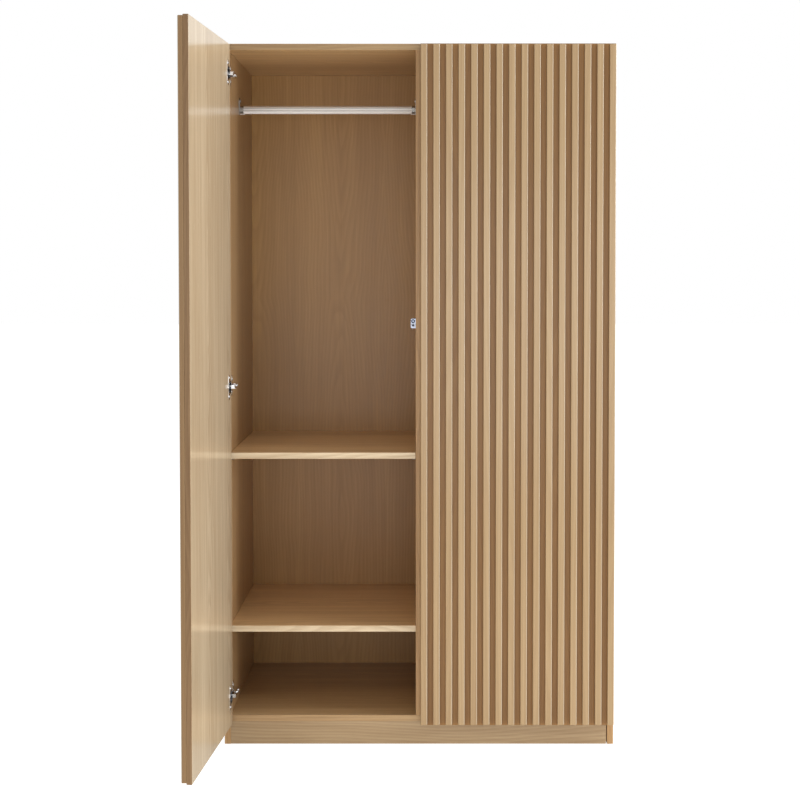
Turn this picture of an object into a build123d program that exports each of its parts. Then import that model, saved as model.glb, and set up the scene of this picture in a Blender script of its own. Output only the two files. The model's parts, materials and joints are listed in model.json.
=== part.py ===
from build123d import *
import os

# Two-door wardrobe of laminated board with slatted push-to-open doors. Millimetres.
# X runs to the right, Y to the back and Z up. The origin is on the floor, under the middle of
# the carcass footprint. The left door stands open and the right door is closed.

# ---- driving dimensions ----------------------------------------------------------------------
WIDTH = 1000.0
HEIGHT = 1796.0
CARCASS_DEPTH = 572.0
BOARD = 16.0
GLIDE_HEIGHT = 3.0

BACK_THICK = 3.0
BACK_RECESS = 17.0
BACK_GROOVE_DEPTH = 6.0
BACK_PLAY = 0.1

BOTTOM_TOP = 78.0
LOWER_SHELF_TOP = 309.0
MID_SHELF_TOP = 755.0
SHELF_SETBACK = 4.0
MID_SHELF_PLAY = 0.5
PLINTH_END_GAP = 2.5
PLINTH_LIFT = 0.5
REAR_PLINTH_SETBACK = 30.0

DOOR_WIDTH = 494.0
DOOR_REVEAL = 1.5
DOOR_BOTTOM = 56.5
DOOR_TOP = 1794.5
DOOR_GAP = 4.3
DOOR_BOARD = 13.0
SLAT_COUNT = 16
SLAT_WIDTH = 17.0
SLAT_THICK = 12.0
SLAT_TOP_STEP = 2.3
SLAT_BOTTOM_STEP = 3.0
LEFT_DOOR_OPEN = 93.8

HINGE_INSET = 75.0
PIVOT_FROM_EDGE = 9.4
PIVOT_DEPTH = 9.7
PIN_RADIUS = 1.0
PIN_HALF_LENGTH = 12.4
PIN_PLAY = 0.05
CUP_FROM_EDGE = 20.5
CUP_RADIUS = 17.45
CUP_DEPTH = 12.1
CUP_WALL = 0.85
CUP_FLOOR = 0.4
CUP_FLANGE = 1.0
CUP_SCREW_OFFSET = 8.0
CUP_SCREW_SPACING = 48.0
ARM_TOP = 14.5
ARM_THICK = 2.0
ARM_HALF_WIDTH = 4.5
ARM_CHANNEL_HALF_WIDTH = 6.5
ARM_REAR = 56.0
PLATE_FROM_FRONT = 37.0
PLATE_THICK = 2.0
PLATE_SCREW_SPACING = 32.0

RAIL_HEIGHT = 22.0
RAIL_DEPTH = 15.0
RAIL_WALL = 1.3
RAIL_CENTRE_Z = 1652.0
RAIL_FROM_FRONT = 243.0
RAIL_END_GAP = 12.0

LATCH_Z = 1086.0
LATCH_WIDTH = 12.5
LATCH_HEIGHT = 24.0
LATCH_LENGTH = 42.0
LATCH_FRONT_INSET = 2.0
PLUNGER_DROP = 4.5
PLUNGER_RADIUS = 4.2
PLUNGER_PLAY = 0.05
PLUNGER_TRAVEL = 3.0
PLUNGER_DOOR_GAP = 0.5

CAM_RADIUS = 7.5
CAM_DEPTH = 12.5
CAM_FROM_END = 34.0
BOLT_RADIUS = 2.9
BOLT_HEAD_RADIUS = 3.4
BOLT_BORE = 4.0
BOLT_THREAD = 11.0
DOWEL_RADIUS = 3.95
DOWEL_IN_END = 20.0
DOWEL_IN_FACE = 7.5
FIT_PLAY = 0.05

# ---- worked-out places -----------------------------------------------------------------------
FRONT = -CARCASS_DEPTH / 2
REAR = CARCASS_DEPTH / 2
SIDE_OUT = WIDTH / 2
SIDE_IN = SIDE_OUT - BOARD
DIVIDER_HALF = BOARD / 2
BACK_REAR = REAR - BACK_RECESS
BACK_FRONT = BACK_REAR - BACK_THICK
TOP_UNDER = HEIGHT - BOARD
BOTTOM_UNDER = BOTTOM_TOP - BOARD
DOOR_EDGE = SIDE_OUT - DOOR_REVEAL
DOOR_INNER = FRONT - DOOR_GAP
PIVOT_X = DOOR_EDGE - PIVOT_FROM_EDGE
PIVOT_Y = DOOR_INNER - PIVOT_DEPTH
HINGE_HEIGHTS = (
    DOOR_BOTTOM + HINGE_INSET,
    (DOOR_BOTTOM + DOOR_TOP) / 2,
    DOOR_TOP - HINGE_INSET,
)
SIDES = {"left": -1, "right": 1}


# ---- helpers ---------------------------------------------------------------------------------
def block(x0, x1, y0, y1, z0, z1):
    """Box between two corners, given in any order."""
    size = (abs(x1 - x0), abs(y1 - y0), abs(z1 - z0))
    centre = ((x0 + x1) / 2, (y0 + y1) / 2, (z0 + z1) / 2)
    return Pos(*centre) * Box(*size)


def rod(start, axis, length, radius):
    """Cylinder from a start point along +X, -X, +Y, -Y, +Z or -Z."""
    direction = Vector(*axis)
    plane = Plane(origin=Vector(*start), z_dir=direction)
    bar = Cylinder(radius, length, align=(Align.CENTER, Align.CENTER, Align.MIN))
    return plane * bar


def mirrored(shape, sign):
    """Shapes are drawn on the left, where sign is -1, and mirrored to the right."""
    return shape if sign < 0 else mirror(shape, about=Plane.YZ)


def cut(shape, tools):
    """Shape with every tool taken away."""
    return shape - tools if tools else shape


def write(name, shape):
    """One STEP file per node. Several separate solids go in as a compound."""
    if isinstance(shape, list):
        solids = [solid for piece in shape for solid in piece.solids()]
        shape = Compound(solids)
    shape.label = name
    export_step(shape, f"parts/{name}.step")


# ---- board fasteners -------------------------------------------------------------------------
cam_locks, cam_bolts, dowels = [], [], []
holes = {}


def drill(board, tool):
    """Remember a hole for a board."""
    holes.setdefault(board, []).append(tool)


def cam_joint(end_board, face_board, end, inward, cam_side):
    """Cam lock in end_board, with its bolt screwed into the face of face_board.

    end is the point on the joint plane at mid thickness, inward the direction into end_board,
    and cam_side the direction from mid thickness to the face that the cam is let into.
    """
    point, inward, cam_side = Vector(*end), Vector(*inward), Vector(*cam_side)
    centre = point + inward * CAM_FROM_END
    mouth = centre + cam_side * (BOARD / 2)
    axis = cam_side * -1
    bore = rod(point, inward, CAM_FROM_END, BOLT_BORE)
    drill(end_board, rod(mouth, axis, CAM_DEPTH, CAM_RADIUS + FIT_PLAY))
    drill(end_board, bore)
    drill(face_board, rod(point, inward * -1, BOLT_THREAD, BOLT_RADIUS + FIT_PLAY))
    head_start = point + inward * (CAM_FROM_END - 4.5)
    bolt = rod(point - inward * BOLT_THREAD, inward, BOLT_THREAD, BOLT_RADIUS)
    bolt += rod(point, inward, CAM_FROM_END - 4.5, BOLT_RADIUS - 0.6)
    bolt += rod(head_start, inward, 3.0, BOLT_HEAD_RADIUS)
    cam = rod(mouth, axis, CAM_DEPTH, CAM_RADIUS)
    cam -= rod(centre - inward * (CAM_RADIUS + 1), inward, CAM_RADIUS + 2, BOLT_BORE)
    slot = (2.0 if abs(inward.X) else 9.0, 9.0 if abs(inward.X) else 2.0, 2.0)
    if abs(cam_side.X):
        slot = (2.0, 2.0, 9.0)
    cam -= Pos(*mouth) * Box(*slot)
    cam_bolts.append(bolt)
    cam_locks.append(cam)


def dowel_joint(end_board, face_board, end, inward, in_face=DOWEL_IN_FACE, in_end=DOWEL_IN_END):
    """Glued wooden dowel between the end of one board and the face of another."""
    point, inward = Vector(*end), Vector(*inward)
    start = point - inward * in_face
    drill(end_board, rod(point, inward, in_end, DOWEL_RADIUS + FIT_PLAY))
    drill(face_board, rod(start, inward, in_face, DOWEL_RADIUS + FIT_PLAY))
    dowels.append(rod(start, inward, in_face + in_end, DOWEL_RADIUS))


def screw(face_board, head_point, inward, through, length, radius, head_radius, head_height):
    """Screw whose head sits on head_point, with its hole in face_board past the fitting."""
    head_point, inward = Vector(*head_point), Vector(*inward)
    surface = head_point + inward * through
    drill(face_board, rod(surface, inward, length, radius + FIT_PLAY))
    body = rod(head_point, inward, through + length, radius)
    return body + rod(head_point, inward * -1, head_height, head_radius)


def carcass_joints():
    """Cams and dowels of the top, bottom, divider, fixed shelves and plinths."""
    rows = (-190.0, 190.0)
    dowel_rows = (-240.0, 240.0)
    top_z = HEIGHT - BOARD / 2
    bottom_z = BOTTOM_TOP - BOARD / 2
    shelf_z = LOWER_SHELF_TOP - BOARD / 2
    for side, sign in SIDES.items():
        wall = f"{side}_side_panel"
        shelf = f"{side}_lower_shelf"
        shift = 16.0 * sign
        inward = (-sign, 0, 0)
        outward = (sign, 0, 0)
        for y in rows:
            cam_joint("top_panel", wall, (sign * SIDE_IN, y, top_z), inward, (0, 0, 1))
            cam_joint("bottom_panel", wall, (sign * SIDE_IN, y, bottom_z), inward, (0, 0, -1))
            cam_joint(shelf, wall, (sign * SIDE_IN, y, shelf_z), inward, (0, 0, -1))
        for y in dowel_rows:
            dowel_joint("top_panel", wall, (sign * SIDE_IN, y, top_z), inward)
            dowel_joint("bottom_panel", wall, (sign * SIDE_IN, y, bottom_z), inward)
            dowel_joint(shelf, wall, (sign * SIDE_IN, y, shelf_z), inward)
        for y in (-205.0, -60.0, 190.0):
            place = (sign * DIVIDER_HALF, y + shift, shelf_z)
            dowel_joint(shelf, "centre_divider", place, outward)
    for y in rows:
        cam_joint("centre_divider", "top_panel", (0, y, TOP_UNDER), (0, 0, -1), (1, 0, 0))
        cam_joint("centre_divider", "bottom_panel", (0, y, BOTTOM_TOP), (0, 0, 1), (1, 0, 0))
    for y in dowel_rows:
        dowel_joint("centre_divider", "top_panel", (0, y, TOP_UNDER), (0, 0, -1))
        dowel_joint("centre_divider", "bottom_panel", (0, y, BOTTOM_TOP), (0, 0, 1))


def plinth_joints():
    """Dowels that hold the plinth frame to the sides and to its centre brace."""
    front_mid = FRONT + BOARD / 2
    rear_mid = REAR - REAR_PLINTH_SETBACK - BOARD / 2
    for z in (20.0, 46.0):
        dowel_joint("plinth_front", "left_side_panel", (-SIDE_IN, front_mid, z), (1, 0, 0))
        for side, sign in SIDES.items():
            wall = f"{side}_side_panel"
            dowel_joint("plinth_rear", wall, (sign * SIDE_IN, rear_mid, z), (-sign, 0, 0))
        dowel_joint("plinth_brace", "plinth_front", (0, FRONT + BOARD, z), (0, 1, 0))
        dowel_joint("plinth_brace", "plinth_rear", (0, rear_mid - BOARD / 2, z), (0, -1, 0))
    for x in (-420.0, -140.0, 140.0, 420.0):
        dowel_joint("plinth_front", "bottom_panel", (x, front_mid, BOTTOM_UNDER), (0, 0, -1))


# ---- carcass boards --------------------------------------------------------------------------
def back_groove_cut(x0, x1, z0, z1):
    """Groove that takes the edge of a back panel."""
    return block(x0, x1, BACK_FRONT - BACK_PLAY, BACK_REAR + BACK_PLAY, z0, z1)


def make_boards():
    """Every plain board of the carcass, before drilling."""
    boards = {}
    reach = BACK_GROOVE_DEPTH
    groove_low, groove_high = BOTTOM_TOP - reach, TOP_UNDER + reach
    for side, sign in SIDES.items():
        panel = block(sign * SIDE_IN, sign * SIDE_OUT, FRONT, REAR, GLIDE_HEIGHT, HEIGHT)
        inner = sign * SIDE_IN
        panel -= back_groove_cut(inner, inner + sign * reach, groove_low, groove_high)
        boards[f"{side}_side_panel"] = panel
    divider = block(-DIVIDER_HALF, DIVIDER_HALF, FRONT, REAR, BOTTOM_TOP, TOP_UNDER)
    for sign in SIDES.values():
        face = sign * DIVIDER_HALF
        divider -= back_groove_cut(face, face - sign * reach, BOTTOM_TOP, TOP_UNDER)
    boards["centre_divider"] = divider
    top = block(-SIDE_IN, SIDE_IN, FRONT, REAR, TOP_UNDER, HEIGHT)
    boards["top_panel"] = top - back_groove_cut(-SIDE_IN, SIDE_IN, TOP_UNDER, groove_high)
    bottom = block(-SIDE_IN, SIDE_IN, FRONT, REAR, BOTTOM_UNDER, BOTTOM_TOP)
    boards["bottom_panel"] = bottom - back_groove_cut(-SIDE_IN, SIDE_IN, groove_low, BOTTOM_TOP)
    boards.update(make_plinth())
    boards.update(make_shelves())
    return boards


def make_plinth():
    """Front and rear plinth boards and the brace that stands between them."""
    low = GLIDE_HEIGHT + PLINTH_LIFT
    rear = REAR - REAR_PLINTH_SETBACK
    front_board = block(-SIDE_IN, SIDE_IN - PLINTH_END_GAP, FRONT, FRONT + BOARD, low, BOTTOM_UNDER)
    rear_board = block(-SIDE_IN, SIDE_IN, rear - BOARD, rear, low, BOTTOM_UNDER)
    brace = block(-BOARD / 2, BOARD / 2, FRONT + BOARD, rear - BOARD, GLIDE_HEIGHT, BOTTOM_UNDER)
    return {"plinth_front": front_board, "plinth_rear": rear_board, "plinth_brace": brace}


def make_shelves():
    """Fixed lower shelves and loose mid shelves of both bays."""
    shelves = {}
    y0, y1 = FRONT + SHELF_SETBACK, BACK_FRONT - BACK_PLAY
    for side, sign in SIDES.items():
        near, far = sign * DIVIDER_HALF, sign * SIDE_IN
        z = LOWER_SHELF_TOP
        shelves[f"{side}_lower_shelf"] = block(near, far, y0, y1, z - BOARD, z)
        z = MID_SHELF_TOP
        play = sign * MID_SHELF_PLAY
        shelves[f"{side}_mid_shelf"] = block(near + play, far - play, y0, y1, z - BOARD, z)
    return shelves


def back_panel(sign):
    """Thin back panel of one bay, let into the grooves around it."""
    reach = BACK_GROOVE_DEPTH - FIT_PLAY
    near, far = sign * (DIVIDER_HALF - reach), sign * (SIDE_IN + reach)
    return block(near, far, BACK_FRONT, BACK_REAR, BOTTOM_TOP - reach, TOP_UNDER + reach)


def shelf_pins():
    """Steel pins under the four corners of both mid shelves."""
    pins = []
    z = MID_SHELF_TOP - BOARD - 3.0
    for side, sign in SIDES.items():
        for wall_x, inward, wall in (
            (sign * SIDE_IN, -sign, f"{side}_side_panel"),
            (sign * DIVIDER_HALF, sign, "centre_divider"),
        ):
            for y in (FRONT + 42.0, BACK_FRONT - 45.0):
                pin = rod((wall_x, y, z), (inward, 0, 0), 9.0, 3.0)
                pin += rod((wall_x, y, z), (-inward, 0, 0), 7.5, 2.5)
                drill(wall, rod((wall_x, y, z), (-inward, 0, 0), 7.5, 2.5 + FIT_PLAY))
                pins.append(pin)
    return pins


def floor_glides():
    """Nail-in glides under the side panels and the plinth brace."""
    glides = []
    side_x = SIDE_OUT - BOARD / 2
    places = [(sign * side_x, y) for sign in (-1, 1) for y in (FRONT + 20, REAR - 20)]
    for x, y in places + [(0.0, 0.0)]:
        board = "plinth_brace" if x == 0 else f"{'left' if x < 0 else 'right'}_side_panel"
        disc = rod((x, y, 0), (0, 0, 1), GLIDE_HEIGHT, 7.0)
        disc = chamfer(disc.edges().group_by(Axis.Z)[0], 0.8)
        glides.append(disc + rod((x, y, GLIDE_HEIGHT), (0, 0, 1), 12.0, 1.2))
        drill(board, rod((x, y, GLIDE_HEIGHT), (0, 0, 1), 12.0, 1.2 + FIT_PLAY))
    return glides


# ---- hanging rails ---------------------------------------------------------------------------
def obround_bar(x0, x1, width, height):
    """Bar along X with an upright rounded-end section."""
    y, z = FRONT + RAIL_FROM_FRONT, RAIL_CENTRE_Z
    plane = Plane(origin=(x0, y, z), x_dir=(0, 0, 1), z_dir=(1, 0, 0))
    section = plane * SlotOverall(height, width)
    return extrude(section, amount=x1 - x0)


def hanging_rail(sign):
    """Oval aluminium tube with two fine grooves along each face."""
    x0, x1 = -SIDE_IN + RAIL_END_GAP, -DIVIDER_HALF - RAIL_END_GAP
    rail = obround_bar(x0, x1, RAIL_DEPTH, RAIL_HEIGHT)
    inner = RAIL_WALL * 2
    rail -= obround_bar(x0 - 1, x1 + 1, RAIL_DEPTH - inner, RAIL_HEIGHT - inner)
    for z in (-3.1, 3.1):
        for face in (-1, 1):
            y = FRONT + RAIL_FROM_FRONT + face * RAIL_DEPTH / 2
            mid = RAIL_CENTRE_Z + z
            rail -= block(x0 - 1, x1 + 1, y - 0.5, y + 0.5, mid - 0.5, mid + 0.5)
    return mirrored(rail, sign)


def rail_bracket(wall_x, inward, wall):
    """End bracket: a screwed plate, a locating peg and a plug that fills the end of the rail."""
    y, z = FRONT + RAIL_FROM_FRONT, RAIL_CENTRE_Z
    plate_top = z + 33.0
    low, high = sorted((wall_x, wall_x + inward * 2.5))
    plate = block(low, high, y - 9, y + 9, z - 13, plate_top - 9)
    plate += rod((low, y, plate_top - 9), (1, 0, 0), high - low, 9.0)
    plug_low, plug_high = sorted((wall_x + inward * 2.5, wall_x + inward * (RAIL_END_GAP + 14)))
    inset = (RAIL_WALL + 0.1) * 2
    plug = obround_bar(plug_low, plug_high, RAIL_DEPTH - inset, RAIL_HEIGHT - inset)
    peg = rod((wall_x, y, z), (-inward, 0, 0), DOWEL_IN_FACE, 2.5)
    drill(wall, rod((wall_x, y, z), (-inward, 0, 0), DOWEL_IN_FACE, 2.5 + FIT_PLAY))
    head = (wall_x + inward * 2.5, y, z + 23.0)
    hole = rod(head, (-inward, 0, 0), 2.5, 1.75 + FIT_PLAY)
    fixing = screw(wall, head, (-inward, 0, 0), 2.5, 7.0, 1.75, 3.6, 2.0)
    return plate + plug + peg - hole, fixing


def rail_fittings():
    """Brackets of both rails, by side, and their screws."""
    brackets, screws = {}, []
    for side, sign in SIDES.items():
        pair = []
        for wall_x, inward, wall in (
            (sign * SIDE_IN, -sign, f"{side}_side_panel"),
            (sign * DIVIDER_HALF, sign, "centre_divider"),
        ):
            bracket, fixing = rail_bracket(wall_x, inward, wall)
            pair.append(bracket)
            screws.append(fixing)
        brackets[side] = pair
    return brackets, screws


# ---- doors, drawn closed on the left ---------------------------------------------------------
def door_x(from_edge):
    """X of a point on the left door, from its hinge edge."""
    return -DOOR_EDGE + from_edge


def door_y(depth):
    """Y of a point in the closed door, from its inner face outwards."""
    return DOOR_INNER - depth


def door_board():
    """Backing board with a blind bore for each hinge cup and its screws."""
    board = block(door_x(0), door_x(DOOR_WIDTH), door_y(0), door_y(DOOR_BOARD), DOOR_BOTTOM, DOOR_TOP)
    bores = []
    for z in HINGE_HEIGHTS:
        cup = (door_x(CUP_FROM_EDGE), door_y(0), z)
        bores.append(rod(cup, (0, -1, 0), CUP_DEPTH + 0.1, CUP_RADIUS + FIT_PLAY))
        for half in (-1, 1):
            x = door_x(CUP_FROM_EDGE + CUP_SCREW_OFFSET)
            start = (x, door_y(0), z + half * CUP_SCREW_SPACING / 2)
            bores.append(rod(start, (0, -1, 0), 9.0, 1.75 + FIT_PLAY))
    return cut(board, bores)


def door_slats():
    """Upright slats glued on the outer face, flush with both upright edges of the board."""
    pitch = (DOOR_WIDTH - SLAT_WIDTH) / (SLAT_COUNT - 1)
    y0, y1 = door_y(DOOR_BOARD), door_y(DOOR_BOARD + SLAT_THICK)
    low, high = DOOR_BOTTOM + SLAT_BOTTOM_STEP, DOOR_TOP - SLAT_TOP_STEP
    slats = []
    for index in range(SLAT_COUNT):
        x = door_x(index * pitch)
        slats.append(block(x, x + SLAT_WIDTH, y0, y1, low, high))
    return slats


def hinge_cup(z):
    """Pressed steel cup with its screw flange and the two holes that hold the pin."""
    centre = (door_x(CUP_FROM_EDGE), door_y(0), z)
    bowl = rod(centre, (0, -1, 0), CUP_DEPTH, CUP_RADIUS)
    flange = rod(centre, (0, 1, 0), CUP_FLANGE, CUP_RADIUS + 1.5)
    screw_x = door_x(CUP_FROM_EDGE + CUP_SCREW_OFFSET)
    reach = CUP_SCREW_SPACING / 2
    face = door_y(0)
    flange += block(screw_x - 8, screw_x + 8, face, face + CUP_FLANGE, z - reach, z + reach)
    for half in (-1, 1):
        flange += rod((screw_x, face, z + half * reach), (0, 1, 0), CUP_FLANGE, 8.0)
    cup = bowl + flange
    mouth = (centre[0], face + CUP_FLANGE, z)
    hollow = CUP_DEPTH + CUP_FLANGE - CUP_FLOOR
    cup -= rod(mouth, (0, -1, 0), hollow, CUP_RADIUS - CUP_WALL)
    cup -= rod((-PIVOT_X, PIVOT_Y, z - PIN_HALF_LENGTH - 3), (0, 0, 1), PIN_HALF_LENGTH * 2 + 6,
               PIN_RADIUS + FIT_PLAY)
    for half in (-1, 1):
        start = (screw_x, face + CUP_FLANGE, z + half * reach)
        cup -= rod(start, (0, -1, 0), CUP_FLANGE, 1.75 + FIT_PLAY)
    return cup


def cup_screws(z):
    """Two screws that hold one cup in the door."""
    screws = []
    for half in (-1, 1):
        x = door_x(CUP_FROM_EDGE + CUP_SCREW_OFFSET)
        start = (x, door_y(0) + CUP_FLANGE, z + half * CUP_SCREW_SPACING / 2)
        shank = rod(start, (0, -1, 0), 9.0 + CUP_FLANGE, 1.75)
        screws.append(shank + rod(start, (0, 1, 0), 1.4, 3.2))
    return screws


def hinge_pin(z):
    """Pin across the cup that the arm swings on."""
    return rod((-PIVOT_X, PIVOT_Y, z - PIN_HALF_LENGTH), (0, 0, 1), PIN_HALF_LENGTH * 2, PIN_RADIUS)


def in_place(shape, side):
    """Left door pieces are swung open about the hinge pins, right door pieces are mirrored."""
    if side == "right":
        return mirror(shape, about=Plane.YZ)
    axis = Axis((-PIVOT_X, PIVOT_Y, 0), (0, 0, 1))
    return shape.rotate(axis, -LEFT_DOOR_OPEN)


# ---- carcass half of the hinges, drawn on the left -------------------------------------------
def arm_face():
    """X of the arm's top face, on the left side."""
    return -SIDE_IN + ARM_TOP


def arm_screw_places(z):
    """Points on the arm's top face where its two adjusting screws sit."""
    return [(arm_face(), FRONT + y, z) for y in (27.0, 46.0)]


def hinge_arm(z):
    """Channel over the mounting plate whose front end hooks into the cup, round the pin."""
    face = arm_face()
    low = -SIDE_IN + PLATE_THICK + 0.5
    half = ARM_CHANNEL_HALF_WIDTH
    arm = block(low, face, FRONT + 8, FRONT + ARM_REAR, z - half, z + half)
    arm -= block(low, face - ARM_THICK, FRONT + 7, FRONT + ARM_REAR + 1, z - half + 1.2, z + half - 1.2)
    half = ARM_HALF_WIDTH
    arm += block(face - ARM_THICK, face, PIVOT_Y - 1.1, FRONT + 9, z - half, z + half)
    arm += block(-PIVOT_X, face, PIVOT_Y - 1.1, PIVOT_Y + 1.1, z - half, z + half)
    arm += rod((-PIVOT_X, PIVOT_Y, z - half), (0, 0, 1), half * 2, 1.65)
    arm -= rod((-PIVOT_X, PIVOT_Y, z - half - 1), (0, 0, 1), half * 2 + 2, PIN_RADIUS + PIN_PLAY)
    for place in arm_screw_places(z):
        arm -= rod(place, (-1, 0, 0), ARM_THICK, 2.0 + FIT_PLAY)
    return arm


def hinge_plate(z):
    """Cross-shaped mounting plate: two screwed wings and a ridge that carries the arm."""
    wall = -SIDE_IN
    y = FRONT + PLATE_FROM_FRONT
    plate = block(wall, wall + PLATE_THICK, y - 7, y + 7, z - 20, z + 20)
    for half in (-1, 1):
        plate += rod((wall, y, z + half * 20), (1, 0, 0), PLATE_THICK, 7.0)
    plate += block(wall, wall + 8.5, FRONT + 18, FRONT + 58, z - 4.8, z + 4.8)
    for half in (-1, 1):
        start = (wall, y, z + half * PLATE_SCREW_SPACING / 2)
        plate -= rod(start, (1, 0, 0), PLATE_THICK, 2.0 + FIT_PLAY)
    for place in arm_screw_places(z):
        plate -= rod((wall + 4.5, place[1], z), (1, 0, 0), 5.0, 2.0 + FIT_PLAY)
    return plate


def arm_screws(z):
    """Side and depth adjusting screws of one arm."""
    screws = []
    for place in arm_screw_places(z):
        shank = rod(place, (-1, 0, 0), ARM_TOP - 4.5, 2.0)
        head = rod(place, (1, 0, 0), 1.6, 3.4)
        head -= Pos(place[0] + 1.6, place[1], z) * Box(1.2, 1.0, 4.6)
        screws.append(shank + head)
    return screws


def plate_screws(z, sign):
    """Two screws through the wings of one mounting plate."""
    wall_name = "left_side_panel" if sign < 0 else "right_side_panel"
    screws = []
    for half in (-1, 1):
        height = z + half * PLATE_SCREW_SPACING / 2
        head = (sign * (SIDE_IN - PLATE_THICK), FRONT + PLATE_FROM_FRONT, height)
        screws.append(screw(wall_name, head, (sign, 0, 0), PLATE_THICK, 11.0, 2.0, 3.8, 1.8))
    return screws


# ---- push latches ----------------------------------------------------------------------------
def plunger_place():
    """X and Z of the plunger axis of the left latch."""
    return -DIVIDER_HALF - LATCH_WIDTH / 2 - 0.5, LATCH_Z - PLUNGER_DROP


def latch_screw_heights():
    """Heights and depths of the two latch screws, clear of the plunger bore."""
    return ((FRONT + 15.0, LATCH_Z + 6.5), (FRONT + 33.0, LATCH_Z + 6.5))


def latch_body():
    """Housing with the plunger bore and a locating recess above it, on the left."""
    x, z = plunger_place()
    near, far = -DIVIDER_HALF, -DIVIDER_HALF - LATCH_WIDTH
    y0 = FRONT + LATCH_FRONT_INSET
    half = LATCH_HEIGHT / 2
    body = block(near, far, y0, y0 + LATCH_LENGTH, LATCH_Z - half, LATCH_Z + half)
    body = chamfer(body.edges().filter_by(Axis.Y).group_by(Axis.X)[0], 2.0)
    body -= rod((x, y0 - 1, z), (0, 1, 0), LATCH_LENGTH - 5, PLUNGER_RADIUS + PLUNGER_PLAY)
    body -= rod((x, y0, LATCH_Z + 6.0), (0, 1, 0), 2.5, 2.0)
    for y, height in latch_screw_heights():
        body -= rod((far - 1, y, height), (1, 0, 0), LATCH_WIDTH + 2, 1.6 + FIT_PLAY)
        body -= rod((far - 1, y, height), (1, 0, 0), 3.0, 3.1)
    return body


def latch_screws(sign):
    """Two screws that hold one latch to the divider."""
    screws = []
    for y, height in latch_screw_heights():
        head = (sign * (DIVIDER_HALF + LATCH_WIDTH - 2.0), y, height)
        through = LATCH_WIDTH - 2.0
        args = ("centre_divider", head, (-sign, 0, 0), through, 6.5, 1.6, 3.0, 1.8)
        screws.append(screw(*args))
    return screws


def plunger():
    """Plunger stem of the left latch, with a hole in its end for the soft tip."""
    x, z = plunger_place()
    tip = DOOR_INNER + PLUNGER_DOOR_GAP + 2.0
    rear = FRONT + LATCH_FRONT_INSET + LATCH_LENGTH - 6.5 - PLUNGER_TRAVEL
    stem = rod((x, tip, z), (0, 1, 0), rear - tip, PLUNGER_RADIUS)
    return stem - rod((x, tip, z), (0, 1, 0), 6.0, 1.5 + FIT_PLAY)


def plunger_tip():
    """Soft ring-shaped tip that pushes on the door."""
    x, z = plunger_place()
    front = DOOR_INNER + PLUNGER_DOOR_GAP
    tip = rod((x, front, z), (0, 1, 0), 2.0, PLUNGER_RADIUS - 0.3)
    tip += rod((x, front + 2.0, z), (0, 1, 0), 6.0, 1.5)
    return tip - rod((x, front, z), (0, 1, 0), 1.2, 1.2)


# ---- assembly --------------------------------------------------------------------------------
def main():
    os.makedirs("parts", exist_ok=True)
    carcass_joints()
    plinth_joints()
    brackets, bracket_screws = rail_fittings()
    write("rail_bracket_screws", bracket_screws)
    write("shelf_pins", shelf_pins())
    write("floor_glides", floor_glides())
    write("cam_locks", cam_locks)
    write("cam_bolts", cam_bolts)
    write("wooden_dowels", dowels)

    board, slats = door_board(), door_slats()
    for side, sign in SIDES.items():
        write(f"{side}_back_panel", back_panel(sign))
        write(f"{side}_hanging_rail", hanging_rail(sign))
        write(f"{side}_rail_brackets", brackets[side])
        write(f"{side}_hinge_plates", [mirrored(hinge_plate(z), sign) for z in HINGE_HEIGHTS])
        write(f"{side}_hinge_arms", [mirrored(hinge_arm(z), sign) for z in HINGE_HEIGHTS])
        arm_fixings = [piece for z in HINGE_HEIGHTS for piece in arm_screws(z)]
        write(f"{side}_hinge_arm_screws", [mirrored(piece, sign) for piece in arm_fixings])
        plate_fixings = [piece for z in HINGE_HEIGHTS for piece in plate_screws(z, sign)]
        write(f"{side}_hinge_plate_screws", plate_fixings)
        write(f"{side}_latch_body", mirrored(latch_body(), sign))
        write(f"{side}_latch_screws", latch_screws(sign))
        write(f"{side}_latch_plunger", mirrored(plunger(), sign))
        write(f"{side}_latch_tip", mirrored(plunger_tip(), sign))

        write(f"{side}_door_board", in_place(board, side))
        write(f"{side}_door_slats", [in_place(slat, side) for slat in slats])
        write(f"{side}_hinge_cups", [in_place(hinge_cup(z), side) for z in HINGE_HEIGHTS])
        write(f"{side}_hinge_pins", [in_place(hinge_pin(z), side) for z in HINGE_HEIGHTS])
        cup_fixings = [piece for z in HINGE_HEIGHTS for piece in cup_screws(z)]
        write(f"{side}_cup_screws", [in_place(piece, side) for piece in cup_fixings])

    for name, plain in make_boards().items():
        write(name, cut(plain, holes.get(name, [])))


main()
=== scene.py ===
"""Finished look of a two-door wardrobe with slatted doors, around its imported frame."""
import json
import math

import bmesh
import bpy
from mathutils import Matrix, Vector


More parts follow.
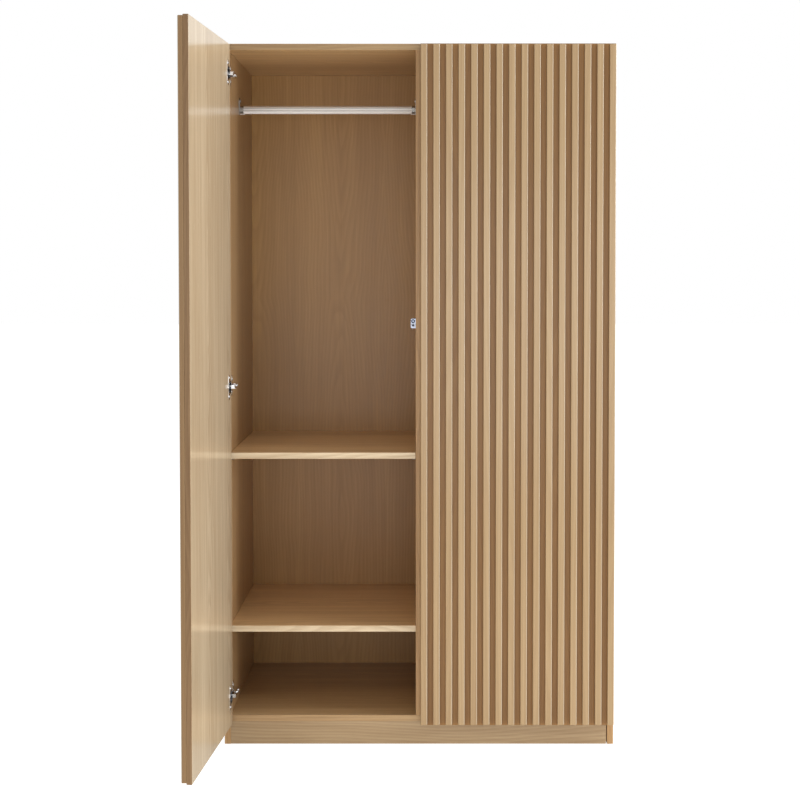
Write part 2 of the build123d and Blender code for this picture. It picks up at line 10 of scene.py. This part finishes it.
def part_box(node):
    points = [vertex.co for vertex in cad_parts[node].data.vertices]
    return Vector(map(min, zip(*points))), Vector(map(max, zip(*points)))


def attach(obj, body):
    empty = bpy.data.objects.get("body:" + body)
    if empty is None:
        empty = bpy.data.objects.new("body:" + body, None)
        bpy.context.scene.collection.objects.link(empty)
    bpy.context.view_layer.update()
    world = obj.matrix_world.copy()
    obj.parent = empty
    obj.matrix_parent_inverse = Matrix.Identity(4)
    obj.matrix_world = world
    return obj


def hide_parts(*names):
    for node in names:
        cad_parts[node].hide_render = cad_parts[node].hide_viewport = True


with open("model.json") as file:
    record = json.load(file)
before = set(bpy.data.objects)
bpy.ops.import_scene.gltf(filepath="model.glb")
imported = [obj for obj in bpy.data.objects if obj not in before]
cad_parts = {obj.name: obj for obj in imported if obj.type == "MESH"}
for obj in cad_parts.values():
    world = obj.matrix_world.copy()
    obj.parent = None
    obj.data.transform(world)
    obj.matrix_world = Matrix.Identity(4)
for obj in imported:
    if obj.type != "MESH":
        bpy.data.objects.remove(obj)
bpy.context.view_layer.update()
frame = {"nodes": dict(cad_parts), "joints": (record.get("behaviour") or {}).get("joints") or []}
nodes, joints = frame["nodes"], frame["joints"]
scene = bpy.context.scene
MM = 0.001
X_AXIS, Y_AXIS, Z_AXIS = 0, 1, 2
IDENTITY = Matrix.Identity(4)


# ---- shader shorthand ------------------------------------------------------------------------
class Graph:
    """Adds shader nodes to one tree. A value or a socket can be given for any input."""

    def __init__(self, tree):
        self.tree = tree

    def put(self, socket, value):
        if isinstance(value, bpy.types.NodeSocket):
            self.tree.links.new(value, socket)
        else:
            socket.default_value = value

    def add(self, kind, inputs=(), **settings):
        made = self.tree.nodes.new(kind)
        for name, value in settings.items():
            setattr(made, name, value)
        for name, value in dict(inputs).items():
            self.put(made.inputs[name], value)
        return made

    def math(self, operation, a, b=0.0, c=0.0, clamp=False):
        made = self.add("ShaderNodeMath", operation=operation, use_clamp=clamp)
        for socket, value in zip(made.inputs, (a, b, c)):
            self.put(socket, value)
        return made.outputs[0]

    def combine(self, x, y, z):
        return self.add("ShaderNodeCombineXYZ", {"X": x, "Y": y, "Z": z}).outputs[0]

    def noise(self, vector, detail=2.0, roughness=0.5, scale=1.0):
        inputs = {"Vector": vector, "Scale": scale, "Detail": detail, "Roughness": roughness}
        return self.add("ShaderNodeTexNoise", inputs).outputs[0]

    def step(self, value, low, high, to_low=0.0, to_high=1.0):
        inputs = {0: value, 1: low, 2: high, 3: to_low, 4: to_high}
        return self.add("ShaderNodeMapRange", inputs, interpolation_type="SMOOTHSTEP").outputs[0]

    def ramp(self, value, stops):
        made = self.add("ShaderNodeValToRGB", {0: value})
        elements = made.color_ramp.elements
        while len(elements) < len(stops):
            elements.new(0.5)
        for element, (place, colour) in zip(elements, stops):
            element.position, element.color = place, (*colour, 1.0)
        return made.outputs[0]

    def bump(self, height, strength, distance):
        inputs = {"Height": height, "Strength": strength, "Distance": distance}
        return self.add("ShaderNodeBump", inputs).outputs[0]


def new_material(name, **constants):
    """Material with a Principled shader, its constant sockets set, and a Graph to go on with."""
    material = bpy.data.materials.new(name)
    material.use_nodes = True
    graph = Graph(material.node_tree)
    shader = material.node_tree.nodes["Principled BSDF"]
    for socket, value in constants.items():
        shader.inputs[socket.replace("_", " ")].default_value = value
    return material, graph, shader.inputs


# ---- oak print -------------------------------------------------------------------------------
LEAF_WIDTH = 0.128         # metres from the middle of one cathedral to the joint with the next
CONE_SLOPE = 0.085         # how fast the cut runs out of the rings along a board
CONE_REACH = 0.052         # metres of depth over which that happens
CORE_DEPTH = 0.006         # the cut's least distance from the tree's centre
RINGS_PER_METRE = 115.0
RING_SHARE, FIBRE_SHARE, BAND_SHARE, CLOUD_SHARE, PORE_SHARE = 0.2, 0.55, 0.75, 0.8, -0.16


def oak_figure():
    """Group that draws plain-sawn oak from grain coordinates: across, along and board number.

    The rings are cones cut lengthwise, which gives nested arches, with fibres and pores over them.
    """
    tree = bpy.data.node_groups.new("oak_figure", "ShaderNodeTree")
    tree.interface.new_socket("Grain", in_out="INPUT", socket_type="NodeSocketVector")
    for name in ("Tone", "Fibre", "Pore"):
        tree.interface.new_socket(name, in_out="OUTPUT", socket_type="NodeSocketFloat")
    g = Graph(tree)
    grain = g.add("NodeGroupInput").outputs[0]
    split = g.add("ShaderNodeSeparateXYZ", {0: grain})
    across, along, board = split.outputs

    def streaks(per_across, per_along, shift, detail):
        place = g.combine(g.math("MULTIPLY", across, per_across), g.math("MULTIPLY", along, per_along),
                          g.math("MULTIPLY_ADD", board, 3.7, shift))
        return g.math("SUBTRACT", g.noise(place, detail, 0.6), 0.5)

    wander = streaks(3.5, 1.1, 1.0, 2.0)
    drift = streaks(9.0, 2.2, 9.0, 2.0)
    leaf = g.math("PINGPONG", g.math("MULTIPLY_ADD", board, 0.37, across), LEAF_WIDTH)
    leaf = g.math("MULTIPLY_ADD", wander, 0.09, leaf)
    depth = g.math("MULTIPLY_ADD", along, CONE_SLOPE, g.math("MULTIPLY", board, 0.017))
    depth = g.math("ADD", g.math("PINGPONG", depth, CONE_REACH), CORE_DEPTH)
    depth = g.math("MULTIPLY_ADD", drift, 0.03, depth)
    radius = g.math("SQRT", g.math("MULTIPLY_ADD", leaf, leaf, g.math("MULTIPLY", depth, depth)))
    radius = g.math("MULTIPLY_ADD", drift, 0.012, radius)
    ring = g.math("FRACT", g.math("MULTIPLY", radius, RINGS_PER_METRE))
    ring = g.math("MULTIPLY", g.step(ring, 0.0, 0.7), g.step(ring, 0.82, 1.0, 1.0, 0.0))
    ring = g.math("SUBTRACT", ring, 0.5)
    fibre = streaks(420.0, 7.0, 21.0, 3.0)
    band = streaks(70.0, 1.4, 33.0, 3.0)
    cloud = streaks(9.0, 0.9, 47.0, 2.0)
    pore = g.step(streaks(1100.0, 34.0, 55.0, 1.0), 0.12, 0.2)
    tone = g.math("MULTIPLY_ADD", ring, RING_SHARE, 0.5)
    shares = ((fibre, FIBRE_SHARE), (band, BAND_SHARE), (cloud, CLOUD_SHARE), (pore, PORE_SHARE))
    for part, share in shares:
        tone = g.math("MULTIPLY_ADD", part, share, tone)
    output = g.add("NodeGroupOutput")
    g.put(output.inputs["Tone"], g.math("ADD", tone, 0.0, clamp=True))
    g.put(output.inputs["Fibre"], fibre)
    g.put(output.inputs["Pore"], pore)
    return tree


OAK = oak_figure()
DARK_OAK = (0.36, 0.235, 0.122)
LIGHT_OAK = (0.60, 0.44, 0.262)


def oak_material(name, tint, roughness=0.32, relief=0.25, calm=0.0, stretch=1.0):
    """Satin oak print, its dark and light colours multiplied by a tint.

    calm, from 0 to 1, takes contrast out of the figure, and stretch draws it out along the grain.
    """
    material, g, shader = new_material(name, Specular_IOR_Level=0.5, IOR=1.46)
    dark, light = (tuple(a * b for a, b in zip(tone, tint)) for tone in (DARK_OAK, LIGHT_OAK))
    grain = g.add("ShaderNodeAttribute", attribute_name="grain").outputs["Vector"]
    grain = g.add("ShaderNodeMapping", {"Vector": grain, "Scale": (1.0, 1.0 / stretch, 1.0)}).outputs[0]
    figure = g.add("ShaderNodeGroup", {0: grain}, node_tree=OAK)
    tone, fibre, pore = figure.outputs
    middle = tuple((a * b) ** 0.5 for a, b in zip(dark, light))
    dark, light = (tuple(a + (b - a) * calm for a, b in zip(end, middle)) for end in (dark, light))
    colour = g.ramp(tone, ((0.12, dark), (0.5, middle), (0.88, light)))
    g.put(shader["Base Color"], colour)
    rough = g.math("MULTIPLY_ADD", fibre, 0.16, roughness)
    g.put(shader["Roughness"], g.math("MULTIPLY_ADD", pore, 0.08, rough))
    height = g.math("MULTIPLY_ADD", pore, -0.6, fibre)
    g.put(shader["Normal"], g.bump(height, relief, 0.12 * MM))
    return material


def speckled(name, colours, scale, roughness, relief=0.0, stretch=(1.0, 1.0, 1.0), **constants):
    """Material mottled between colours, for cores, plastics, rubber and cast metal."""
    material, g, shader = new_material(name, **constants)
    place = g.add("ShaderNodeTexCoord").outputs["Object"]
    place = g.add("ShaderNodeMapping", {"Vector": place, "Scale": stretch}).outputs[0]
    spots = g.noise(place, 4.0, 0.65, scale)
    count = max(1, len(colours) - 1)
    stops = [(0.3 + 0.4 * i / count, colour) for i, colour in enumerate(colours)]
    g.put(shader["Base Color"], g.ramp(spots, stops))
    g.put(shader["Roughness"], g.math("MULTIPLY_ADD", g.math("SUBTRACT", spots, 0.5), 0.25, roughness))
    if relief:
        g.put(shader["Normal"], g.bump(spots, relief, 0.0002))
    return material


OAK_SIDE = oak_material("oak_side", (0.92, 0.84, 0.72))
OAK_TOP = oak_material("oak_top", (1.32, 1.22, 1.03))
OAK_BOTTOM = oak_material("oak_bottom", (1.0, 0.95, 0.85))
# shelf oak, lightened in part as painted light: a lighter copy of the carcass oak standing in for light
# falling on the shelf tops
OAK_SHELF_LIT = oak_material("oak_shelf_lit", (1.46, 1.38, 1.24))
OAK_SHELF_BAND = oak_material("oak_shelf_band", (1.28, 1.42, 1.62))
OAK_PLINTH = oak_material("oak_plinth", (0.80, 0.78, 0.74))
OAK_BAND = oak_material("oak_band", (0.72, 0.66, 0.56))
OAK_FLOOR_BAND = oak_material("oak_floor_band", (0.95, 0.87, 0.74))
# edge bands of the side panels and divider: their own colour, made slightly darker as painted shade for
# the shadow the doors cast on the divider's edge
OAK_UPRIGHT_BAND_SHADED = oak_material("oak_upright_band_shaded", (0.93, 0.77, 0.57))
OAK_BACK = oak_material("oak_back", (0.88, 0.69, 0.38), calm=0.35)
OAK_DOOR = oak_material("oak_door", (0.96, 1.08, 1.26), 0.17, 0.1, calm=0.2)
OAK_SLAT = oak_material("oak_slat", (0.89, 0.86, 0.80), 0.2, 0.15, calm=0.5, stretch=3.0)
# painted shade: the slats' sides and ends take an oak darker than their fronts, deepening the shade in
# the grooves
OAK_SLAT_SIDE_SHADED = oak_material("oak_slat_side_shaded", (0.64, 0.54, 0.42), calm=0.5, stretch=3.0)
# painted highlight: pale, whitish oak on the right-hand eased corner of each slat, standing in for
# light from the right
OAK_PAINTED_HIGHLIGHT = oak_material("oak_slat_painted_highlight", (1.0, 1.14, 1.42), 0.18, 0.05, calm=0.8, stretch=3.0)
# door boards' outer face between the slats: partly a darker board, partly painted shade in the grooves
OAK_GROOVE_TONE_AND_SHADE = oak_material("oak_groove_tone_and_shade", (0.65, 0.46, 0.22), calm=0.3, stretch=2.0)
OAK_DOOR_BAND = oak_material("oak_door_band", (0.52, 0.42, 0.32))
CHIPBOARD = speckled("chipboard", ((0.22, 0.14, 0.07), (0.5, 0.36, 0.2), (0.66, 0.52, 0.33)),
                     420.0, 0.85, 0.6)
FIBREBOARD = speckled("fibreboard", ((0.2, 0.12, 0.065), (0.3, 0.19, 0.11)), 260.0, 0.8, 0.3)
ALUMINIUM = speckled("satin_aluminium", ((0.66, 0.63, 0.6), (0.78, 0.75, 0.72)), 500.0, 0.36, 0.0,
                     (0.02, 1.0, 1.0), Metallic=0.45)
NICKEL = speckled("nickel_plate", ((0.72, 0.72, 0.73), (0.86, 0.86, 0.87)), 300.0, 0.14,
                  Metallic=1.0)
ZINC = speckled("cast_zinc", ((0.4, 0.4, 0.41), (0.56, 0.56, 0.57)), 700.0, 0.45, 0.15,
                Metallic=1.0)
BRACKET = speckled("bracket_zinc", ((0.26, 0.25, 0.23), (0.4, 0.38, 0.35)), 700.0, 0.28, 0.1,
                   Metallic=1.0)
LATCH = speckled("latch_housing", ((0.42, 0.48, 0.6), (0.55, 0.61, 0.72)), 300.0, 0.3, 0.05,
                 Metallic=0.5)
TIP = speckled("latch_tip", ((0.72, 0.76, 0.82), (0.82, 0.86, 0.9)), 600.0, 0.45, 0.05)
NAVY = speckled("navy_rubber", ((0.012, 0.018, 0.05), (0.03, 0.04, 0.09)), 800.0, 0.5, 0.05)
# painted shade: dark lines in the rail's grooves
RAIL_GROOVE_SHADE = speckled("rail_groove_shade", ((0.16, 0.15, 0.14), (0.24, 0.23, 0.21)), 500.0, 0.5,
                       Metallic=0.6)
# painted highlight: near-white strip along the rail's underside and on the lips under its ends
RAIL_HIGHLIGHT = speckled("rail_highlight", ((0.92, 0.91, 0.89), (0.98, 0.97, 0.95)), 500.0, 0.25)
STEM = speckled("latch_stem", ((0.32, 0.34, 0.4), (0.42, 0.44, 0.5)), 600.0, 0.4)
GLIDE = speckled("glide_plastic", ((0.4, 0.28, 0.16), (0.5, 0.36, 0.22)), 500.0, 0.55, 0.1)
BEECH = speckled("beech", ((0.48, 0.32, 0.18), (0.62, 0.44, 0.27)), 300.0, 0.7, 0.2,
                 (1.0, 0.1, 1.0))


# ---- mesh work -------------------------------------------------------------------------------
NEAR = 0.02 * MM                # two coordinates this close are taken as the same
SKIN = 1.6 * MM                 # a face this near its board's outside is not in a hole or groove
FLAT_ANGLE = math.radians(0.6)
SHARP_ANGLE = math.radians(40)
SMOOTH_ANGLE = math.radians(38)


def closed_pose(joint_name):
    """Matrix that takes a point of a door at rest to where it is with the door closed."""
    joint = next(j for j in joints if j["name"] == joint_name)
    low = joint["range_deg"][0]
    pivot = Matrix.Translation(joint["pos_m"])
    return pivot @ Matrix.Rotation(math.radians(low), 4, Vector(joint["axis"])) @ pivot.inverted()


TO_CLOSED = {"left_door": closed_pose("left_door_swing"), "right_door": closed_pose("right_door_swing")}


def solids_of(bm):
    """Lists of vertices, one for each separate solid."""
    left, found = set(bm.verts), []
    while left:
        todo, solid = [left.pop()], []
        while todo:
            vert = todo.pop()
            solid.append(vert)
            for edge in vert.link_edges:
                other = edge.other_vert(vert)
                if other in left:
                    left.remove(other)
                    todo.append(other)
        found.append(solid)
    found.sort(key=lambda solid: tuple(round(min(v.co[i] for v in solid), 5) for i in range(3)))
    return found


def limits(verts):
    return [(min(v.co[i] for v in verts), max(v.co[i] for v in verts)) for i in range(3)]


def from_node(name, local):
    """bmesh of a CAD node in its own closed-pose frame, with coplanar triangles joined."""
    bm = bmesh.new()
    bm.from_mesh(nodes[name].data)
    bm.transform(local)
    bmesh.ops.remove_doubles(bm, verts=bm.verts, dist=1e-6)
    bmesh.ops.dissolve_limit(bm, angle_limit=FLAT_ANGLE, verts=bm.verts, edges=bm.edges)
    return bm


def outline_edges(bm):
    """Edges along the outer corners of each board-shaped solid."""
    picked = []
    for solid in solids_of(bm):
        box = limits(solid)
        for edge in {edge for vert in solid for edge in vert.link_edges}:
            sides = sum(
                all(abs(vert.co[axis] - limit) < NEAR for vert in edge.verts)
                for axis in range(3) for limit in box[axis]
            )
            if sides >= 2:
                picked.append(edge)
    return picked


def sharp_edges(bm):
    return [e for e in bm.edges if len(e.link_faces) == 2 and e.calc_face_angle(0.0) > SHARP_ANGLE]


def ease(bm, edges, radius, segments=2):
    bmesh.ops.bevel(bm, geom=edges, offset=radius, offset_type="OFFSET", segments=segments,
                    profile=0.5, affect="EDGES", clamp_overlap=True)


def draw_grain(bm, along, seed, core, band_from=0.5, outer=False, painted_highlight=False):
    """Grain coordinates and material numbers: 0 faces, 1 bands, 2 core in holes, 3 outer face.

    With painted_highlight, number 2 is the eased corner on the right of each solid's front, which
    carries a pale painted highlight. Each solid and each side of it takes its own part of the figure.
    """
    layer = bm.loops.layers.float_vector.new("grain")
    for number, solid in enumerate(solids_of(bm)):
        box = limits(solid)
        thick = min(range(3), key=lambda axis: box[axis][1] - box[axis][0])
        for face in {face for vert in solid for face in vert.link_faces}:
            normal = face.normal
            facing = max(range(3), key=lambda axis: abs(normal[axis]))
            rest = [axis for axis in range(3) if axis != facing]
            run = along if along in rest else max(rest, key=lambda axis: box[axis][1] - box[axis][0])
            side = next(axis for axis in rest if axis != run)
            middle = face.calc_center_median()
            outside = min(abs(middle[facing] - limit) for limit in box[facing]) < SKIN
            band = facing != thick and abs(normal[facing]) > band_from
            face.material_index = 2 if core and not outside else int(band)
            # the outer face of a door board, seen in the grooves, takes the darker oak that holds
            # painted groove shade
            if outer and outside and normal.y < -0.9:
                face.material_index = 3
            # painted highlight: the right-hand eased corner of each slat takes the pale oak
            if painted_highlight and 0.2 < normal.x < 0.99 and normal.y < -0.1 and abs(normal.z) < 0.2:
                face.material_index = 2
            turn = 2 * facing + (normal[facing] > 0)
            for loop in face.loops:
                place = loop.vert.co
                loop[layer] = (place[side] + 0.413 * number, place[run] + 1.71 * number + 0.5 * turn,
                               seed + 2.0 * number + 0.29 * turn)


def finish_piece(bm, name, body, replaced, materials, local=IDENTITY):
    """Object from a mesh drawn in its closed-pose frame, riding on a body in place of CAD nodes."""
    mesh = bpy.data.meshes.new(name)
    bm.normal_update()
    bm.to_mesh(mesh)
    bm.free()
    mesh.polygons.foreach_set("use_smooth", [True] * len(mesh.polygons))
    mesh.set_sharp_from_angle(angle=SMOOTH_ANGLE)
    for material in materials:
        mesh.materials.append(material)
    piece = bpy.data.objects.new(name, mesh)
    scene.collection.objects.link(piece)
    piece.matrix_world = local.inverted()
    weighted = piece.modifiers.new("even_normals", "WEIGHTED_NORMAL")
    weighted.keep_sharp = True
    weighted.weight = 90
    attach(piece, body)
    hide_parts(*replaced)
    return piece


def board(node, body, along, radius, slot, materials, seed, core=True, band_from=0.5, painted_highlight=False):
    """Bevelled board with the holes and grooves of its CAD node."""
    local = TO_CLOSED.get(body, IDENTITY)
    bm = from_node(node, local)
    ease(bm, outline_edges(bm), radius, segments=3)
    draw_grain(bm, along, seed, core, band_from, outer=len(materials) > 3, painted_highlight=painted_highlight)
    return finish_piece(bm, f"{node}_finished", body, [node], materials, local)


def fitting(node, body, radius, material):
    """Metal or plastic part of its CAD node's shape with its sharp edges eased."""
    local = TO_CLOSED.get(body, IDENTITY)
    bm = from_node(node, local)
    ease(bm, sharp_edges(bm), radius)
    return finish_piece(bm, f"{node}_finished", body, [node], [material], local)


# ---- carcass and doors -----------------------------------------------------------------------
EDGE_RADIUS = 0.8 * MM
SLAT_RADIUS = 2.0 * MM
BACK_RADIUS = 0.2 * MM
SHELF = (OAK_SHELF_LIT, OAK_SHELF_BAND, CHIPBOARD)
SIDE = (OAK_SIDE, OAK_UPRIGHT_BAND_SHADED, CHIPBOARD)
PLINTH = (OAK_PLINTH, OAK_PLINTH, CHIPBOARD)
BOARDS = (
    ("left_side_panel", Z_AXIS, 3.1, SIDE),
    ("right_side_panel", Z_AXIS, 11.6, SIDE),
    ("centre_divider", Z_AXIS, 17.2, SIDE),
    ("top_panel", X_AXIS, 23.9, (OAK_TOP, OAK_BAND, CHIPBOARD)),
    ("bottom_panel", X_AXIS, 31.4, (OAK_BOTTOM, OAK_FLOOR_BAND, CHIPBOARD)),
    ("plinth_front", X_AXIS, 37.8, PLINTH),
    ("plinth_rear", X_AXIS, 41.3, PLINTH),
    ("plinth_brace", Y_AXIS, 47.7, PLINTH),
    ("left_lower_shelf", X_AXIS, 53.2, SHELF),
    ("right_lower_shelf", X_AXIS, 57.4, SHELF),
    ("left_mid_shelf", X_AXIS, 61.1, SHELF),
    ("right_mid_shelf", X_AXIS, 67.5, SHELF),
)
for name, along, seed, materials in BOARDS:
    board(name, "carcass", along, EDGE_RADIUS, "oak_laminate", materials, seed)
for number, side in enumerate(("left", "right")):
    body = f"{side}_door"
    board(f"{side}_back_panel", "carcass", Z_AXIS, BACK_RADIUS, "oak_back",
          (OAK_BACK, FIBREBOARD, FIBREBOARD), 71.3 + 4 * number, core=False)
    board(f"{side}_door_board", body, Z_AXIS, EDGE_RADIUS, "oak_door",
          (OAK_DOOR, OAK_DOOR_BAND, CHIPBOARD, OAK_GROOVE_TONE_AND_SHADE), 83.4 + 5 * number)
    board(f"{side}_door_slats", body, Z_AXIS, SLAT_RADIUS, "oak_slats",
          (OAK_SLAT, OAK_SLAT_SIDE_SHADED, OAK_PAINTED_HIGHLIGHT), 97.9 + 50 * number, core=False, band_from=0.95,
          painted_highlight=True)


# ---- fittings --------------------------------------------------------------------------------
def ring(bm, centre, outer, inner, depth, sides=32):
    """Washer or, with no inner radius, a disc, its axis along Y, in front of its centre."""
    turns = [2 * math.pi * i / sides for i in range(sides)]
    loops = []
    for radius, y in ((outer, 0.0), (outer, -depth), (inner, -depth), (inner, 0.0)):
        if radius:
            loops.append([bm.verts.new(centre + Vector((radius * math.cos(t), y, radius * math.sin(t))))
                          for t in turns])
    pairs = list(zip(loops, loops[1:] + loops[:1] if inner else loops[1:]))
    for one, two in pairs:
        for i in range(sides):
            j = (i + 1) % sides
            bm.faces.new((one[i], one[j], two[j], two[i]))
    if not inner:
        bm.faces.new(loops[0])
        bm.faces.new(loops[1])
    bmesh.ops.recalc_face_normals(bm, faces=bm.faces)


def slab(bm, low, high):
    """Block between two corners."""
    made = bmesh.ops.create_cube(bm, size=1.0)["verts"]
    size = high - low
    for vert in made:
        vert.co = (low + high) / 2 + Vector([vert.co[i] * size[i] for i in range(3)])


# node, body, edge radius in mm, record slot, material; there is one of each on both sides
FITTINGS = (
    ("hinge_cups", "door", 0.25, "hinge_nickel", NICKEL),
    ("hinge_pins", "door", 0.2, "hinge_nickel", NICKEL),
    ("cup_screws", "door", 0.15, "hinge_nickel", NICKEL),
    ("hinge_arms", "carcass", 0.3, "hinge_nickel", NICKEL),
    ("hinge_plates", "carcass", 0.4, "hinge_nickel", NICKEL),
    ("hinge_arm_screws", "carcass", 0.15, "hinge_nickel", NICKEL),
    ("hinge_plate_screws", "carcass", 0.15, "hinge_nickel", NICKEL),
    ("rail_brackets", "carcass", 0.3, "zinc", BRACKET),
    ("latch_body", "carcass", 0.3, "latch_metal", LATCH),
    ("latch_screws", "carcass", 0.15, "hinge_nickel", NICKEL),
    ("latch_plunger", "plunger", 0.2, "latch_metal", STEM),
    ("latch_tip", "plunger", 0.5, "latch_tip", TIP),
)
PEG = 7.5 * MM                  # the brackets' pegs reach this far into the walls
LIP_LENGTH, LIP_THICKNESS, LIP_INSET = 15 * MM, 1.6 * MM, 0.5 * MM
LIP_GAP, LIP_RADIUS = 0.1 * MM, 0.3 * MM
GROOVE_INSET = (0.1 * MM, 0.8 * MM)
GROOVE_HALF_HEIGHT = 4.5 * MM
STRIP_BELOW_MIDDLE = 3.6 * MM
PAD_RADIUS, PAD_DEPTH = 2.9 * MM, 0.25 * MM
SOCKET_RADIUS, SOCKET_BORE, SOCKET_DEPTH = 5.0 * MM, 2.2 * MM, 0.3 * MM
SOCKET_Z = 1.092
for side in ("left", "right"):
    for node, body, radius, slot, material in FITTINGS:
        body = body if body == "carcass" else f"{side}_{body}"
        fitting(f"{side}_{node}", body, radius * MM, material)

    # rail: satin tube with painted shade as dark lines in its two grooves and a painted highlight as a
    # bright strip along its underside
    low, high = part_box(f"{side}_hanging_rail")
    middle = (low + high) / 2
    tube = from_node(f"{side}_hanging_rail", IDENTITY)
    for face in tube.faces:
        at, normal = face.calc_center_median(), face.normal
        inset = min(at.y - low.y, high.y - at.y)
        in_groove = GROOVE_INSET[0] < inset < GROOVE_INSET[1]
        if in_groove and abs(at.z - middle.z) < GROOVE_HALF_HEIGHT:
            face.material_index = 1
        elif at.z < middle.z - STRIP_BELOW_MIDDLE and normal.z < -0.1 and abs(normal.x) < 0.5:
            face.material_index = 2
    finish_piece(tube, f"{side}_hanging_rail_finished", "carcass", [f"{side}_hanging_rail"],
                 [ALUMINIUM, RAIL_GROOVE_SHADE, RAIL_HIGHLIGHT])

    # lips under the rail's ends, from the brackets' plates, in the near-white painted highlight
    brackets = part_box(f"{side}_rail_brackets")
    lips = bmesh.new()
    lip_top = low.z - LIP_GAP
    for end, inward in ((brackets[0].x, 1), (brackets[1].x, -1)):
        wall = end + inward * PEG
        near, far = sorted((wall + inward * 0.3 * MM, wall + inward * LIP_LENGTH))
        slab(lips, Vector((near, low.y + LIP_INSET, lip_top - LIP_THICKNESS)),
             Vector((far, high.y - LIP_INSET, lip_top)))
    ease(lips, sharp_edges(lips), LIP_RADIUS)
    finish_piece(lips, f"{side}_rail_lips", "carcass", [], [RAIL_HIGHLIGHT])

    # latch: navy pad in the tip and a ring round the housing's socket
    low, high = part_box(f"{side}_latch_tip")
    middle = (low + high) / 2
    pad = bmesh.new()
    ring(pad, Vector((middle.x, low.y + 0.1 * MM, middle.z)), PAD_RADIUS, 0.0, PAD_DEPTH)
    finish_piece(pad, f"{side}_latch_pad", f"{side}_plunger", [], [NAVY])
    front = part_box(f"{side}_latch_body")[0].y + 0.05 * MM
    socket = bmesh.new()
    ring(socket, Vector((middle.x, front, SOCKET_Z)), SOCKET_RADIUS, SOCKET_BORE, SOCKET_DEPTH)
    finish_piece(socket, f"{side}_latch_socket", "carcass", [], [NAVY])

for name, radius, slot, material in (
    ("rail_bracket_screws", 0.15, "zinc", ZINC),
    ("shelf_pins", 0.3, "zinc", ZINC),
    ("cam_locks", 0.2, "zinc", ZINC),
    ("floor_glides", 0.3, "glide_plastic", GLIDE),
):
    fitting(name, "carcass", radius * MM, material)
for name, material in (("cam_bolts", ZINC), ("wooden_dowels", BEECH)):
    nodes[name].data.materials.clear()
    nodes[name].data.materials.append(material)

# ---- stage, light and camera -----------------------------------------------------------------
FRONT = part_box("left_side_panel")[0].y
CAMERA_FROM_FRONT = 4.1308       # metres from the carcass front
CAMERA_X, CAMERA_Z = 0.0215, 1.2309
CAMERA_PITCH = 2.026             # degrees below level
LENS = 72.906
SHIFT = (-0.0341, -0.095)

REACH = 30.0                     # half the floor's width
FLOOR_GLOW, FRONT_GLOW, FLOOR_SEEN = 0.55, 1.0, 0.85
FRONT_GLOW_AT = (0.45, -1.6, 0.0)
FRONT_GLOW_INNER, FRONT_GLOW_OUTER = 0.7, 1.7
floor_mesh = bpy.data.meshes.new("floor")
corners = [(-REACH, -REACH, 0), (REACH, -REACH, 0), (REACH, REACH, 0), (-REACH, REACH, 0)]
floor_mesh.from_pydata(corners, [], [(0, 1, 2, 3)])
floor = bpy.data.objects.new("floor", floor_mesh)
scene.collection.objects.link(floor)
paper, g, shader = new_material("floor_paper", Roughness=0.9, Specular_IOR_Level=0.1)
g.put(shader["Base Color"], (0.6, 0.6, 0.6, 1.0))
shader["Emission Color"].default_value = (1.0, 1.0, 1.0, 1.0)
# white to the eye, and a soft light from below that is stronger in front of the doors
place = g.add("ShaderNodeTexCoord").outputs["Object"]
away = g.add("ShaderNodeVectorMath", {0: place, 1: FRONT_GLOW_AT}, operation="DISTANCE")
glow = g.step(away.outputs["Value"], FRONT_GLOW_INNER, FRONT_GLOW_OUTER,
              FLOOR_GLOW + FRONT_GLOW, FLOOR_GLOW)
ray = g.add("ShaderNodeLightPath").outputs
glow = g.math("MULTIPLY", ray["Is Diffuse Ray"], glow)
g.put(shader["Emission Strength"], g.math("MULTIPLY_ADD", ray["Is Camera Ray"], FLOOR_SEEN, glow))
floor_mesh.materials.append(paper)

DOME = 0.5                       # sky strength for diffuse light; eyes and gloss see white
world = bpy.data.worlds.new("studio")
scene.world = world
world.use_nodes = True
background = world.node_tree.nodes["Background"]
background.inputs["Color"].default_value = (1.0, 1.0, 1.0, 1.0)
g = Graph(world.node_tree)
ray = g.add("ShaderNodeLightPath").outputs
seen = g.math("MAXIMUM", ray["Is Camera Ray"], ray["Is Glossy Ray"])
g.put(background.inputs["Strength"], g.math("MULTIPLY_ADD", seen, 1.0 - DOME, DOME))


def softbox(name, place, aim, size, power):
    """Rectangular lamp at a place, turned towards a point."""
    light = bpy.data.lights.new(name, "AREA")
    light.shape = "RECTANGLE"
    light.size, light.size_y = size
    light.energy = power
    lamp = bpy.data.objects.new(name, light)
    scene.collection.objects.link(lamp)
    lamp.location = place
    lamp.rotation_euler = (Vector(aim) - Vector(place)).to_track_quat("-Z", "Y").to_euler()


softbox("side", (3.5, -1.3, 1.4), (-0.4, -0.5, 1.0), (1.6, 2.0), 66.0)
softbox("rim", (3.0, 0.15, 2.3), (-0.5, -0.7, 1.2), (1.2, 2.0), 80.0)
softbox("overhead", (1.5, -0.9, 3.2), (-0.5, -0.6, 1.0), (1.4, 1.2), 10.0)
softbox("front_top", (0.3, -3.6, 3.8), (0.0, 0.0, 0.9), (3.0, 1.2), 10.0)
softbox("front", (0.0, -5.5, 0.9), (0.0, 0.0, 0.9), (3.0, 1.6), 30.0)

camera_data = bpy.data.cameras.new("camera")
camera_data.lens = LENS
camera_data.shift_x, camera_data.shift_y = SHIFT
camera = bpy.data.objects.new("camera", camera_data)
scene.collection.objects.link(camera)
camera.location = (CAMERA_X, FRONT - CAMERA_FROM_FRONT, CAMERA_Z)
camera.rotation_euler = (math.radians(90 - CAMERA_PITCH), 0.0, 0.0)
scene.camera = camera

scene.view_settings.view_transform = "Standard"
scene.view_settings.look = "None"
